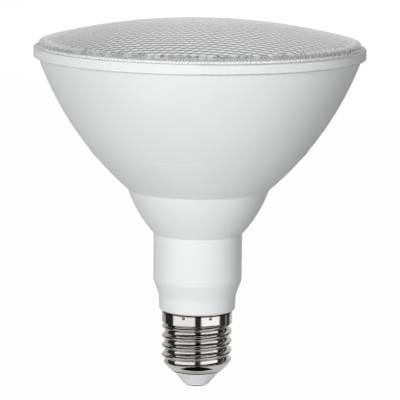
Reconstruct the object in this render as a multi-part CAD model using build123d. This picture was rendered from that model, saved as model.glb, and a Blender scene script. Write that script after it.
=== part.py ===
from build123d import *
import math
import os

# A reflector spotlight lamp with a screw cap. Sizes are in millimetres. Z runs up the lamp's axis
# from the underside of the tip contact, where it is 0, to the top of the lens. Radii are from that axis.

# Screw cap
cap_height = 28.9
shell_wall = 0.3
shell_mouth_radius = 9.6
shell_end_height = 5.1
shell_end_sag = 0.45
thread_pitch = 3.629
thread_crest_radius = 13.1
thread_depth = 1.05
thread_dip = 0.1
thread_crest_share = 0.34
thread_turns = 5.57
band_height = 4.4
band_proud = 0.05
band_ramp = 1.4
punch_count = 8
punch_radius = 0.8
punch_depth = 0.35
punch_drop = 1.25
insulator_drop = 5.3
insulator_tip_radius = 5.0
insulator_tip_round = 0.5
insulator_height = 9.4
insulator_well_radius = 6.3
insulator_floor = 3.4
contact_radius = 4.0
contact_thickness = 1.0
contact_proud = 0.5
contact_round = 0.4
rivet_radius = 1.5
rivet_bore_radius = 0.6
rivet_height = 8.0

# Housing: spigot, collar, cone, neck, cup and bowl in one moulding
spigot_wall = 1.9
wire_room = 6.5
collar_height = 5.6
collar_step = 1.0
collar_draft = 0.25
collar_edge = 0.5
cone_height = 5.84
neck_radius = 16.45
neck_height = 17.4
neck_wall = 2.0
cup_height = 16.7
cup_sag = 0.97
waist_radius = 26.25
waist_round = 0.9
bowl_height = 48.95
bowl_sag = 3.73
bowl_wall = 2.4
seat_ledge = 1.6
girdle_rise = 12.0
girdle_height = 2.7
girdle_proud = 0.15
edge_round = 0.4

# Front: ring, gasket, lens and reflector
ring_radius = 61.0
ring_height = 3.7
ring_wall = 1.48
ring_lip = 1.55
ring_overlap = 0.9
ring_flange = 0.9
ring_flange_width = 3.6
ring_round = 0.5
gasket_thickness = 0.5
lens_wall = 2.4
lens_gap = 0.4
lens_skirt_height = 3.6
lens_shoulder = 1.1
lens_dome_radius = 232.0
reflector_wall = 1.0
reflector_rim_gap = 1.2
reflector_lip = 0.8
reflector_sag = 3.0
reflector_foot_width = 1.6

# Heat sink and light source
plate_thickness = 2.5
skirt_height = 12.0
skirt_wall = 1.5
led_board_thickness = 1.6
led_board_margin = 1.0
led_length = 3.5
led_width = 2.8
led_height = 0.8
led_window_depth = 0.1
inner_led_count = 6
inner_led_radius = 9.0
inner_led_turn = 50.0
outer_led_count = 9
led_edge_gap = 2.25
screw_count = 3
screw_turn = 20.0
screw_head_radius = 2.6
screw_head_height = 1.7
screw_shank_radius = 1.4
screw_socket_radius = 1.2
screw_socket_depth = 0.9

# Driver
board_thickness = 1.2
board_offset = 3.0
board_wall_gap = 1.7
board_tail_gap = 1.0
board_tail_drop = 20.0
board_head_rise = 12.5
guide_grip = 1.4
guide_wall = 1.0
guide_foot = 1.5
guide_stop = 1.5
bulk_radius = 4.75
bulk_length = 16.0
bulk_top_drop = 2.5
output_radius = 4.0
output_length = 8.5
output_side = 5.2
capacitor_bead = 0.4
capacitor_pin_radius = 0.3
capacitor_pin_spread = 2.5
film_width = 3.4
film_height = 7.0
film_length = 9.0
core_width = 13.0
core_height = 12.0
core_depth = 4.0
core_leg = 3.4
core_frame = 2.1
bobbin_wall = 0.6
bobbin_depth = 10.0
winding_depth = 8.6
transformer_rise = 1.0
bridge_width = 6.4
bridge_height = 4.8
bridge_depth = 2.4
chip_width = 3.9
chip_height = 4.9
chip_depth = 1.5
pin_width = 0.42
pin_thickness = 0.25
fuse_radius = 1.6
fuse_length = 7.5
fuse_wire_radius = 0.35
fuse_foot_spread = 12.0

# Wires
lead_radius = 0.5
led_lead_spacing = 2.4
led_lead_side = 2.0
led_lead_run = 4.5
led_lead_bend = 1.2
mains_lead_side = 5.5
mains_lead_bend = 2.0
lead_tail = 4.0

# Clearances
fit = 0.12
slip = 0.25
seat_gap = 0.05
lead_gap = 0.8
over = 1.0

# Levels up the axis
lip_z = contact_proud + insulator_drop
band_z = cap_height - band_height
spigot_z = insulator_height + wire_room
collar_top_z = cap_height + collar_height
neck_z = collar_top_z + cone_height
neck_top_z = neck_z + neck_height
waist_z = neck_top_z + cup_height
seam_z = waist_z + bowl_height
rim_z = seam_z + ring_overlap
flange_z = rim_z + ring_flange
lens_z = flange_z + gasket_thickness
plate_top_z = waist_z + plate_thickness
led_z = plate_top_z + led_board_thickness
guide_z = neck_z + guide_foot
shoulder_z = guide_z + guide_stop
board_top_z = neck_top_z + board_head_rise
board_bottom_z = shoulder_z - board_tail_drop
transformer_z = shoulder_z + transformer_rise

# Radii that follow from a wall or a fit
thread_root_radius = thread_crest_radius - thread_depth
band_radius = thread_crest_radius + band_proud
shell_bore = thread_root_radius - shell_wall
spigot_radius = shell_bore - fit
spigot_land_radius = band_radius - shell_wall - fit
spigot_bore = spigot_radius - spigot_wall
collar_foot_radius = band_radius + collar_step
collar_radius = collar_foot_radius + collar_draft
neck_bore = neck_radius - neck_wall
bowl_radius = ring_radius - ring_wall - fit
bowl_foot_bore = waist_radius - bowl_wall
seat_bore = bowl_foot_bore - seat_ledge
rim_bore = bowl_radius - bowl_wall
plate_radius = bowl_foot_bore - slip
led_board_radius = plate_radius - led_board_margin
reflector_rim_radius = rim_bore - reflector_rim_gap
reflector_lip_radius = rim_bore + reflector_lip
ring_bore = ring_radius - ring_lip
lens_radius = ring_bore - lens_gap
outer_led_radius = led_board_radius - reflector_foot_width - led_edge_gap - led_length / 2
screw_circle_radius = (inner_led_radius + outer_led_radius) / 2

# Driver board's place
board_front_y = -board_offset + board_thickness / 2
board_back_y = -board_offset - board_thickness / 2
board_half_width = neck_bore - board_wall_gap
board_tail_half_width = math.sqrt(spigot_bore ** 2 - board_back_y ** 2) - board_tail_gap
lead_y = board_front_y + lead_radius + seat_gap


def turned(*points):
    """A solid of revolution from a closed outline of (radius, z) points. A third value bulges the edge
    that ends there by that much, to the right of its run."""
    edges = []
    for start, end in zip(points, points[1:] + points[:1]):
        run = Vector(end[0] - start[0], 0, end[1] - start[1])
        first = Vector(start[0], 0, start[1])
        last = first + run
        if len(end) == 3:
            side = Vector(run.Z, 0, -run.X).normalized() * end[2]
            edges.append(ThreePointArc(first, first + run * 0.5 + side, last))
        else:
            edges.append(Line(first, last))
    return revolve(make_face(edges), Axis.Z)


def slab(low_z, high_z, radius):
    """A plain disc of the given radius between two levels."""
    return Pos(0, 0, low_z) * Cylinder(radius, high_z - low_z, align=(Align.CENTER, Align.CENTER, Align.MIN))


def block(x, y, z):
    """A box between the low and high values given for each axis."""
    corner = Pos(x[0], y[0], z[0])
    return corner * Box(x[1] - x[0], y[1] - y[0], z[1] - z[0], align=(Align.MIN, Align.MIN, Align.MIN))


def rod(start, end, radius):
    """A round rod from one point to another."""
    run = Vector(end) - Vector(start)
    return extrude(Plane(start, z_dir=run) * Circle(radius), run.length)


def wire(points, bend, radius):
    """A round wire along straight runs, with every corner bent to the same radius."""
    path = FilletPolyline(*points, radius=bend)
    return sweep(Plane(path @ 0, z_dir=path % 0) * Circle(radius), path=path)


def level_edges(solid, z):
    """The solid's round edges at one level."""
    circles = solid.edges().filter_by(GeomType.CIRCLE)
    return circles.filter_by(lambda edge: abs(edge.center().Z - z) < seat_gap)


def thread_ridge(inset):
    """The rolled thread as a helical ridge. A tight arc over its crest meets the wide arcs of the hollows
    beside it, and its foot reaches into the core that carries it."""
    crest = thread_crest_radius - inset
    hollow = thread_root_radius - inset - thread_dip
    depth = crest - hollow
    half_pitch = thread_pitch / 2
    arcs_together = (half_pitch ** 2 + depth ** 2) / (2 * depth)
    hollow_arc = arcs_together * (1 - thread_crest_share)
    end_z = band_z + half_pitch
    start_z = end_z - thread_turns * thread_pitch

    def point(radius, side):
        below = hollow_arc - (radius - hollow)
        half_width = half_pitch - math.sqrt(hollow_arc ** 2 - below ** 2)
        return Vector(radius, 0, start_z + side * half_width)

    flank = crest - thread_crest_share * depth
    foot = hollow + thread_dip / 2
    middle = (flank + foot) / 2
    base = foot - thread_depth / 2
    low_base = Vector(base, 0, point(foot, -1).Z)
    high_base = Vector(base, 0, point(foot, 1).Z)
    section = make_face([
        ThreePointArc(point(flank, -1), Vector(crest, 0, start_z), point(flank, 1)),
        ThreePointArc(point(flank, 1), point(middle, 1), point(foot, 1)),
        Line(point(foot, 1), high_base),
        Line(high_base, low_base),
        Line(low_base, point(foot, -1)),
        ThreePointArc(point(foot, -1), point(middle, -1), point(flank, -1)),
    ])
    path = Helix(thread_pitch, end_z - start_z, crest, center=(0, 0, start_z))
    return sweep(section, path=path, is_frenet=True)


def rounded_end(inset, past):
    """A filled form that rounds off the cap's lower end, drawn in by inset."""
    mouth = shell_mouth_radius - inset
    wide = band_radius - inset + shell_wall
    low_z = lip_z - past
    top_z = cap_height + past + over
    return turned(
        (0, low_z), (mouth, low_z), (mouth, lip_z + fit), (wide, lip_z + shell_end_height, shell_end_sag),
        (wide, top_z), (0, top_z),
    )


def cap_form(inset, past):
    """The cap's filled form, drawn in by inset and run past both ends by past: a threaded core, the plain
    band above it and the rounded lower end."""
    core = slab(lip_z - past, cap_height + past, thread_root_radius - inset)
    ramp_z = band_z - band_ramp
    ramp_radius = thread_root_radius - inset - shell_wall
    band = band_radius - inset
    top_z = cap_height + past
    collar = turned((0, ramp_z), (ramp_radius, ramp_z), (band, band_z), (band, top_z), (0, top_z))
    return (core + thread_ridge(inset) + collar) & rounded_end(inset, past)


def punches(radius):
    """Balls that mark the crimping punches round the cap's band."""
    ball_radius = band_radius - punch_depth + punch_radius
    ring = PolarLocations(ball_radius, punch_count, 180 / punch_count)
    return [Pos(0, 0, cap_height - punch_drop) * place * Sphere(radius) for place in ring]


def make_cap_shell():
    cavity = cap_form(shell_wall, over) - punches(punch_radius + shell_wall)
    return cap_form(0, 0) - cavity - punches(punch_radius)


def make_cap_insulator():
    inset = shell_wall + fit
    plug = rounded_end(inset, 0) & slab(lip_z, insulator_height, shell_bore - fit)
    mouth = shell_mouth_radius - inset
    nose = turned(
        (0, contact_proud), (insulator_tip_radius - insulator_tip_round, contact_proud),
        (insulator_tip_radius, contact_proud + insulator_tip_round, insulator_tip_round * 0.29),
        (mouth, lip_z), (mouth, lip_z + over), (0, lip_z + over),
    )
    well = slab(contact_proud + insulator_floor, insulator_height + over, insulator_well_radius)
    recess = slab(0, contact_thickness, contact_radius + seat_gap)
    rivet_hole = slab(0, insulator_height, rivet_radius + seat_gap)
    return plug + nose - well - recess - rivet_hole


def make_tip_contact():
    head = slab(0, contact_thickness, contact_radius)
    head = fillet(level_edges(head, 0), contact_round)
    stem = slab(0, rivet_height, rivet_radius)
    bore = slab(contact_thickness, rivet_height + over, rivet_bore_radius)
    return head + stem - bore


def bowl_form(inset):
    """The bowl's filled form, drawn in by inset."""
    return turned(
        (0, waist_z), (waist_radius - inset, waist_z), (bowl_radius - inset, seam_z, bowl_sag), (0, seam_z),
    )


def cup_cavity(inset):
    """The hollow inside the cup, drawn in by inset, from the neck's bore to the heat sink's seat."""
    return turned(
        (0, neck_top_z), (neck_bore - inset, neck_top_z), (seat_bore - inset, waist_z, cup_sag), (0, waist_z),
    )


def board_guides():
    """Two slotted guides on the neck's wall, one for each long edge of the driver board, with a stop under
    the board's shoulders."""
    half_slot = board_thickness / 2 + fit
    half_guide = half_slot + guide_wall
    guides = []
    for side in (-1, 1):
        inner = side * (board_half_width - guide_grip)
        bottom = side * (board_half_width + fit)
        outer = side * neck_radius
        rail = block(sorted((inner, outer)), (-board_offset - half_guide, -board_offset + half_guide),
                     (guide_z, neck_top_z))
        slot = block(sorted((0, bottom)), (-board_offset - half_slot, -board_offset + half_slot),
                     (shoulder_z, neck_top_z + over))
        guides.append((rail - slot) & slab(guide_z, neck_top_z, neck_radius - neck_wall / 2))
    return guides


def neutral_groove():
    """The groove down the spigot where the neutral wire lies against the shell."""
    half_width = lead_radius + fit
    depth = 2 * lead_radius + slip + fit
    groove = block((spigot_radius - depth, spigot_radius + over), (-half_width, half_width),
                   (spigot_z - over, band_z - band_ramp))
    return Rot(0, 0, neutral_angle()) * groove


def neutral_angle():
    """The angle round the axis where the neutral wire meets the shell, in degrees."""
    return math.degrees(math.asin(lead_y / neutral_radius()))


def neutral_radius():
    """The radius at which the neutral wire lies against the inside of the shell."""
    return shell_bore - lead_radius - seat_gap


def make_housing():
    outside = turned(
        (0, spigot_z), (spigot_radius, spigot_z), (spigot_radius, band_z),
        (spigot_land_radius, band_z + band_ramp), (spigot_land_radius, cap_height),
        (collar_foot_radius - collar_edge, cap_height), (collar_foot_radius, cap_height + collar_edge),
        (collar_radius, collar_top_z), (neck_radius, neck_z), (neck_radius, neck_top_z),
        (waist_radius, waist_z, cup_sag), (bowl_radius, seam_z, bowl_sag), (bowl_radius, rim_z), (0, rim_z),
    )
    outside = fillet(level_edges(outside, waist_z), waist_round)
    outside = fillet(level_edges(outside, collar_top_z) + level_edges(outside, neck_z), edge_round)
    girdle_z = waist_z + girdle_rise
    girdle = bowl_form(-girdle_proud) & slab(girdle_z, girdle_z + girdle_height, bowl_radius)
    bores = turned(
        (0, spigot_z - over), (spigot_bore, spigot_z - over), (spigot_bore, cap_height + collar_edge),
        (neck_bore, neck_z), (neck_bore, neck_top_z), (0, neck_top_z),
    )
    lip_seat = slab(rim_z - reflector_wall, rim_z + over, reflector_lip_radius + fit)
    mouth = slab(seam_z, rim_z + over, rim_bore)
    hollow = bores + cup_cavity(0) + bowl_form(bowl_wall) + mouth + lip_seat
    housing = outside + girdle - hollow
    return housing + board_guides() - neutral_groove() - punches(punch_radius + shell_wall + fit)


def make_bezel_ring():
    inner = ring_bore - ring_flange_width
    over_rim = bowl_radius + fit
    ring = turned(
        (inner, rim_z), (over_rim, rim_z), (over_rim, seam_z), (ring_radius, seam_z),
        (ring_radius, seam_z + ring_height), (ring_bore, seam_z + ring_height), (ring_bore, flange_z),
        (inner, flange_z),
    )
    outer_edges = level_edges(ring, seam_z + ring_height).sort_by(SortBy.RADIUS)[-1:]
    outer_edges += level_edges(ring, seam_z).sort_by(SortBy.RADIUS)[-1:]
    return fillet(outer_edges, ring_round)


def make_lens_gasket():
    return slab(flange_z, lens_z, lens_radius) - slab(flange_z - over, lens_z + over, lens_radius - lens_wall)


def dome_rise(dome_radius, width):
    """How high a dome stands over a rim of the given radius."""
    return dome_radius - math.sqrt(dome_radius ** 2 - width ** 2)


def dome_sag(dome_radius, width):
    """How far a dome's arc stands off the chord from its rim to its top."""
    half_chord = math.hypot(width, dome_rise(dome_radius, width)) / 2
    return dome_rise(dome_radius, half_chord)


def make_lens():
    inner_radius = lens_radius - lens_wall
    inner_dome = lens_dome_radius - lens_wall
    rim = lens_z + lens_skirt_height
    apex = rim + dome_rise(lens_dome_radius, lens_radius)
    inner_apex = apex - lens_wall
    inner_rim = inner_apex - dome_rise(inner_dome, inner_radius)
    lens = turned(
        (inner_radius, lens_z), (lens_radius, lens_z), (lens_radius, rim),
        (0, apex, dome_sag(lens_dome_radius, lens_radius)), (0, inner_apex),
        (inner_radius, inner_rim, -dome_sag(inner_dome, inner_radius)),
    )
    return fillet(level_edges(lens, rim), lens_shoulder)


def make_reflector():
    foot = led_board_radius - reflector_foot_width
    top_inner = reflector_rim_radius - reflector_wall
    under_lip = rim_z - reflector_wall
    return turned(
        (foot, led_z), (led_board_radius, led_z), (led_board_radius, led_z + reflector_wall),
        (reflector_rim_radius, under_lip, reflector_sag), (reflector_lip_radius, under_lip),
        (reflector_lip_radius, rim_z), (top_inner, rim_z), (foot, led_z + reflector_wall, -reflector_sag),
    )


def lead_slot(low_z, high_z):
    """The slot that lets both light-source wires through the plate and the board on it."""
    middle = led_lead_side + led_lead_spacing / 2
    width = 2 * (lead_radius + lead_gap)
    outline = Pos(middle, lead_y) * SlotCenterToCenter(led_lead_spacing, width)
    return Pos(0, 0, low_z) * extrude(outline, high_z - low_z)


def screw_places():
    return PolarLocations(screw_circle_radius, screw_count, screw_turn)


def screw_holes(low_z, high_z, radius):
    return [place * slab(low_z, high_z, radius) for place in screw_places()]


def make_heat_sink():
    plate = slab(waist_z, plate_top_z, plate_radius)
    skirt = cup_cavity(slip) - cup_cavity(slip + skirt_wall)
    skirt = skirt & slab(waist_z - skirt_height, waist_z, waist_radius)
    holes = screw_holes(waist_z - over, plate_top_z + over, screw_shank_radius + seat_gap)
    return plate + skirt - holes - lead_slot(waist_z - over, plate_top_z + over)


def make_led_board():
    board = slab(plate_top_z, led_z, led_board_radius)
    holes = screw_holes(plate_top_z - over, led_z + over, screw_shank_radius + fit)
    return board - holes - lead_slot(plate_top_z - over, led_z + over)


def led_package():
    """One surface-mounted package with its long side along the radius and a shallow window on top."""
    standing = (Align.CENTER, Align.CENTER, Align.MIN)
    frame = led_height / 2
    body = Box(led_length, led_width, led_height, align=standing)
    window = Box(led_length - frame, led_width - frame, led_height, align=standing)
    return body - Pos(0, 0, led_height - led_window_depth) * window


def make_led_packages():
    rings = [
        PolarLocations(inner_led_radius, inner_led_count, inner_led_turn),
        PolarLocations(outer_led_radius, outer_led_count),
    ]
    return Compound(children=[Pos(0, 0, led_z) * place * led_package() for ring in rings for place in ring])


def board_screw():
    """One pan-head screw with a hexagon socket, standing on the board."""
    head = slab(led_z, led_z + screw_head_height, screw_head_radius)
    head = fillet(level_edges(head, led_z + screw_head_height), screw_head_height / 3)
    shank = slab(waist_z, led_z, screw_shank_radius)
    socket = Pos(0, 0, led_z + screw_head_height - screw_socket_depth) * extrude(
        RegularPolygon(screw_socket_radius, 6), screw_socket_depth)
    return head + shank - socket


def make_board_screws():
    return Compound(children=[place * board_screw() for place in screw_places()])


def make_led_lead(x, run):
    """A wire that rises along the driver board, passes the plate and lies down on the board above it."""
    top = led_z + lead_radius + seat_gap
    start = (x, lead_y, board_top_z - lead_tail)
    corner = (x, lead_y, top)
    end = (x + run[0], lead_y + run[1], top)
    return wire([start, corner, end], led_lead_bend, lead_radius)


def make_mains_lead_line():
    bottom = contact_thickness + seat_gap
    points = [
        (-mains_lead_side, lead_y, board_bottom_z + lead_tail), (-mains_lead_side, lead_y, spigot_z),
        (0, 0, insulator_height), (0, 0, bottom + lead_tail),
    ]
    core = rod(points[-1], (0, 0, bottom), rivet_bore_radius - seat_gap)
    return wire(points, mains_lead_bend, lead_radius) + core


def make_mains_lead_neutral():
    angle = math.radians(neutral_angle())
    shell_x = neutral_radius() * math.cos(angle)
    turn_z = spigot_z - mains_lead_bend
    points = [
        (mains_lead_side, lead_y, board_bottom_z + lead_tail), (mains_lead_side, lead_y, turn_z),
        (shell_x, lead_y, turn_z), (shell_x, lead_y, band_z - band_ramp - over),
    ]
    return wire(points, mains_lead_bend, lead_radius)


def make_driver_board():
    depth = (board_back_y, board_front_y)
    head = block((-board_half_width, board_half_width), depth, (shoulder_z, board_top_z))
    tail = block((-board_tail_half_width, board_tail_half_width), depth, (board_bottom_z, shoulder_z))
    return head + tail


def radial_capacitor(radius, length, x, low_z):
    """A radial capacitor lying on the board, with a rolled bead near its lower end and two bent pins."""
    y = board_front_y + radius + seat_gap
    can = Pos(x, y, 0) * slab(low_z, low_z + length, radius)
    can = fillet(can.edges().filter_by(GeomType.CIRCLE), capacitor_bead)
    bead = Pos(x, y, low_z + 3 * capacitor_bead) * Torus(radius, capacitor_bead)
    pins = []
    for side in (-1, 1):
        pin_x = x + side * capacitor_pin_spread / 2
        drop = low_z - radius / 2
        points = [(pin_x, y, low_z + over), (pin_x, y, drop), (pin_x, board_front_y, drop)]
        pins.append(wire(points, 3 * capacitor_pin_radius, capacitor_pin_radius))
    return can - bead + pins


def make_bulk_capacitor():
    return radial_capacitor(bulk_radius, bulk_length, 0, shoulder_z - bulk_top_drop - bulk_length)


def make_output_capacitor():
    low_z = transformer_z + core_height + output_radius
    return radial_capacitor(output_radius, output_length, -output_side, low_z)


def make_film_capacitor():
    x = led_lead_side + led_lead_spacing + lead_radius + lead_gap
    z = transformer_z + core_height
    body = block((x, x + film_width), (board_front_y, board_front_y + film_height), (z, z + film_length))
    return fillet(body.edges(), edge_round)


def transformer_y():
    """The transformer's middle, so that its bobbin stands on the driver board."""
    return board_front_y + bobbin_depth / 2


def centred(width, depth, low_z, high_z):
    """A box centred on the transformer."""
    y = transformer_y()
    return block((-width / 2, width / 2), (y - depth / 2, y + depth / 2), (low_z, high_z))


def window_levels():
    """The lowest and highest level of the core's windows."""
    return transformer_z + core_frame, transformer_z + core_height - core_frame


def bobbin_tube_size():
    """The outer width and depth of the bobbin's tube round the core's middle leg."""
    return core_leg + 2 * (fit + bobbin_wall), core_depth + 2 * (fit + bobbin_wall)


def make_transformer_core():
    low, high = window_levels()
    frame = centred(core_width, core_depth, transformer_z, transformer_z + core_height)
    window = centred(core_width - 2 * core_frame, core_depth + over, low, high)
    leg = centred(core_leg, core_depth, low, high)
    return frame - window + leg


def make_transformer_bobbin():
    low, high = window_levels()
    width, depth = bobbin_tube_size()
    flange_width = core_width - 2 * core_frame - 2 * fit
    tube = centred(width, depth, low + fit, high - fit)
    lower = centred(flange_width, bobbin_depth, low + fit, low + fit + bobbin_wall)
    upper = centred(flange_width, bobbin_depth, high - fit - bobbin_wall, high - fit)
    leg = centred(core_leg + 2 * fit, core_depth + 2 * fit, low - over, high + over)
    return tube + lower + upper - leg


def make_transformer_winding():
    low, high = window_levels()
    width, depth = bobbin_tube_size()
    outer_width = core_width - 2 * core_frame - 4 * fit
    coil_levels = (low + fit + bobbin_wall, high - fit - bobbin_wall)
    coil = centred(outer_width, winding_depth, *coil_levels)
    coil = fillet(coil.edges().filter_by(Axis.Z), outer_width / 4)
    return coil - centred(width, depth, low, high)


def surface_chip(width, height, depth, pin_count, z):
    """A moulded package on the board's back, with a row of bent pins down each side."""
    standoff = board_back_y - seat_gap
    body = block((-width / 2, width / 2), (standoff - depth, standoff), (z - height / 2, z + height / 2))
    body = chamfer(body.faces().sort_by(Axis.Y)[0].edges(), pin_thickness)
    arm_y = standoff - depth / 2
    foot_y = board_back_y - pin_thickness
    reach = 4 * pin_thickness
    pins = []
    for side in (-1, 1):
        edge = side * width / 2
        knee = edge + side * reach
        for index in range(pin_count):
            pin_z = z + (index - (pin_count - 1) / 2) * height / pin_count
            span = (pin_z - pin_width / 2, pin_z + pin_width / 2)
            arm = block(sorted((edge - side * reach, knee)), (arm_y, arm_y + pin_thickness), span)
            leg = block(sorted((knee - side * pin_thickness, knee)), (arm_y, board_back_y), span)
            foot = block(sorted((knee, knee + side * reach)), (foot_y, board_back_y), span)
            pins += [arm, leg, foot]
    return body + pins


def make_bridge_rectifier():
    return surface_chip(bridge_width, bridge_height, bridge_depth, 2, shoulder_z - board_tail_drop / 2)


def make_driver_chip():
    return surface_chip(chip_width, chip_height, chip_depth, 4, board_top_z - 2 * chip_height)


def make_fuse_resistor():
    y = board_back_y - fuse_radius - slip
    z = transformer_z + core_height / 2
    body = rod((-fuse_length / 2, y, z), (fuse_length / 2, y, z), fuse_radius)
    body = fillet(body.edges().filter_by(GeomType.CIRCLE), fuse_radius / 3)
    half = fuse_foot_spread / 2
    points = [(-half, board_back_y, z), (-half, y, z), (half, y, z), (half, board_back_y, z)]
    return body + wire(points, 2 * fuse_wire_radius, fuse_wire_radius)


nodes = {
    "lens": make_lens(),
    "lens_gasket": make_lens_gasket(),
    "bezel_ring": make_bezel_ring(),
    "reflector": make_reflector(),
    "housing": make_housing(),
    "heat_sink": make_heat_sink(),
    "led_board": make_led_board(),
    "led_packages": make_led_packages(),
    "board_screws": make_board_screws(),
    "led_lead_positive": make_led_lead(led_lead_side, (-led_lead_run, 0)),
    "led_lead_negative": make_led_lead(led_lead_side + led_lead_spacing, (0, led_lead_run)),
    "driver_board": make_driver_board(),
    "bulk_capacitor": make_bulk_capacitor(),
    "output_capacitor": make_output_capacitor(),
    "film_capacitor": make_film_capacitor(),
    "transformer_core": make_transformer_core(),
    "transformer_bobbin": make_transformer_bobbin(),
    "transformer_winding": make_transformer_winding(),
    "bridge_rectifier": make_bridge_rectifier(),
    "driver_chip": make_driver_chip(),
    "fuse_resistor": make_fuse_resistor(),
    "mains_lead_line": make_mains_lead_line(),
    "mains_lead_neutral": make_mains_lead_neutral(),
    "cap_shell": make_cap_shell(),
    "cap_insulator": make_cap_insulator(),
    "tip_contact": make_tip_contact(),
}

os.makedirs("parts", exist_ok=True)
for name, shape in nodes.items():
    export_step(shape, f"parts/{name}.step")
    size = shape.bounding_box().size
    print(f"{name}: {size.X:.2f} x {size.Y:.2f} x {size.Z:.2f} mm, {shape.volume / 1000:.3f} cm3")
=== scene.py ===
# %% [markdown]
# # A reflector spotlight lamp, dressed for a photograph
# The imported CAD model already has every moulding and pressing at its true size. It comes in first and is
# never moved. What is left for Blender is how the lamp looks: clear plastic, satin plastic, bright nickel,
# and the small optical forms that a CAD solid would carry only at great cost.

import math

import bmesh
import bpy
from mathutils import Matrix, Vector
from mathutils.kdtree import KDTree


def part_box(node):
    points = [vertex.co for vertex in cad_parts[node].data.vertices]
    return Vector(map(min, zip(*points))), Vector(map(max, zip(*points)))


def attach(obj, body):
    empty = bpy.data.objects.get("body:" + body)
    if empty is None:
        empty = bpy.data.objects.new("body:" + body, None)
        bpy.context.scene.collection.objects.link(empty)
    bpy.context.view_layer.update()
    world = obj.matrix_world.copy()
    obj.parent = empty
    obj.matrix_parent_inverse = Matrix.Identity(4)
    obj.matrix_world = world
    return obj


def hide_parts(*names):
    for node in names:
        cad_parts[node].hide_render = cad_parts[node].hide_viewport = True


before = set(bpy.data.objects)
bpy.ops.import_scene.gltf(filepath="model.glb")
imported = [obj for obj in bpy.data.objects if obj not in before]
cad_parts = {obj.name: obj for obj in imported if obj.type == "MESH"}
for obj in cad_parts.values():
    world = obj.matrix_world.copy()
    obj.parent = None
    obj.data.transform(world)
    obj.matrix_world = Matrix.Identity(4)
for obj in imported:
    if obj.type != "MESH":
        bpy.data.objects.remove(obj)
scene = bpy.context.scene
MM = 0.001
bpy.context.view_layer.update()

# %% [markdown]
# ## The camera
# The photograph looks a little down on the lamp from nearly a metre away, through a long lens, so the rim
# is a thin ellipse and the cap's sides stay almost parallel. A fit of that view to the rim, the neck and
# the cap gives the distance, the height and the tilt. The small roll is the photographer's.

# %% Camera at the photograph's viewpoint
VIEW_DISTANCE = 888 * MM
VIEW_HEIGHT = 217.8 * MM
VIEW_SIDE = 0.62 * MM
VIEW_TILT = math.radians(80.55)
VIEW_ROLL = math.radians(0.66)

camera = bpy.data.objects.new("camera", bpy.data.cameras.new("camera"))
scene.collection.objects.link(camera)
camera.data.sensor_width = 36.0
camera.data.lens = 218.5
camera.data.clip_end = 20.0
camera.matrix_world = (Matrix.Translation((VIEW_SIDE, -VIEW_DISTANCE, VIEW_HEIGHT))
                       @ Matrix.Rotation(VIEW_TILT, 4, "X") @ Matrix.Rotation(VIEW_ROLL, 4, "Z"))
scene.camera = camera
print("camera height over the floor:", round(VIEW_HEIGHT / MM, 1), "mm")

# %% [markdown]
# ## Helpers for finishes
# Every finish below is a Principled shader with a few texture nodes in front of it. Colours are written as
# the hex values that a paint program shows, so one function turns them to the linear values that light
# needs. One more function adds a node, sets its properties and fills its inputs. A colour ramp starts with
# two stops, so the function adds the missing ones before it fills them all.

# %% Colours and nodes
def linear(hex_colour):
    """The linear colour, with alpha, of an sRGB hex value such as 'F2F1EE'."""
    channels = [int(hex_colour[i:i + 2], 16) / 255 for i in (0, 2, 4)]
    return [c / 12.92 if c <= 0.04045 else ((c + 0.055) / 1.055) ** 2.4 for c in channels] + [1.0]


def add_node(tree, kind, inputs=None, stops=(), **settings):
    """Adds one node to a tree. An input is filled with a plain value or with another node's output.
    The stops of a colour ramp are pairs of a place from 0 to 1 and a linear colour."""
    made = tree.nodes.new("ShaderNode" + kind)
    for name, value in settings.items():
        setattr(made, name, value)
    for name, value in (inputs or {}).items():
        if isinstance(value, bpy.types.NodeSocket):
            tree.links.new(value, made.inputs[name])
        else:
            made.inputs[name].default_value = value
    if stops:
        elements = made.color_ramp.elements
        while len(elements) < len(stops):
            elements.new(0.5)
        for element, (start, colour) in zip(elements, stops):
            element.position = start
            element.color = colour
    return made


def new_finish(name, **shader_values):
    """A material with its Principled shader's own sockets set. It gives the material, tree and shader."""
    material = bpy.data.materials.new(name)
    material.use_nodes = True
    shader = material.node_tree.nodes["Principled BSDF"]
    for socket, value in shader_values.items():
        shader.inputs[socket.replace("_", " ")].default_value = value
    return material, material.node_tree, shader


def dress(material, *nodes):
    """Gives CAD nodes one finish in place of the plain one they were packed with."""
    for name in nodes:
        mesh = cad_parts[name].data
        mesh.materials.clear()
        mesh.materials.append(material)
    print(material.name, "on", ", ".join(nodes))


# %% [markdown]
# ## White satin plastic
# The body and the front ring are moulded in white polybutylene. The steel mould was spark-eroded, which
# leaves a grain too fine to see one by one: it only breaks up the reflections to a satin. A flat colour
# would look like paper, so a noise of grain size goes into the bump and the roughness, and a slow, faint
# cloud into the colour. The real grain is about 0.1 mm; it is drawn four times as coarse, or the render
# would lose it.

# %% Satin plastic for the body and the ring
GRAIN = 0.4 * MM
white_plastic, tree, shader = new_finish("satin_moulded_polybutylene", IOR=1.5, Specular_IOR_Level=0.3)
place = add_node(tree, "TexCoord").outputs["Object"]
cloud = add_node(tree, "TexNoise", {"Vector": place, "Scale": 1 / (18 * MM), "Detail": 3.0})
tone = add_node(tree, "Mix", {0: cloud.outputs[0], 6: linear("EDEFEE"), 7: linear("F4F5F5")},
                data_type="RGBA")
grain = add_node(tree, "TexNoise", {"Vector": place, "Scale": 1 / GRAIN, "Detail": 2.0})
satin = add_node(tree, "MapRange", {0: grain.outputs[0], 1: 0.3, 2: 0.7, 3: 0.42, 4: 0.54})
relief = add_node(tree, "Bump", {"Height": grain.outputs[0], "Strength": 0.12, "Distance": 0.02 * MM})
tree.links.new(tone.outputs[2], shader.inputs["Base Color"])
tree.links.new(satin.outputs[0], shader.inputs["Roughness"])
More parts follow.
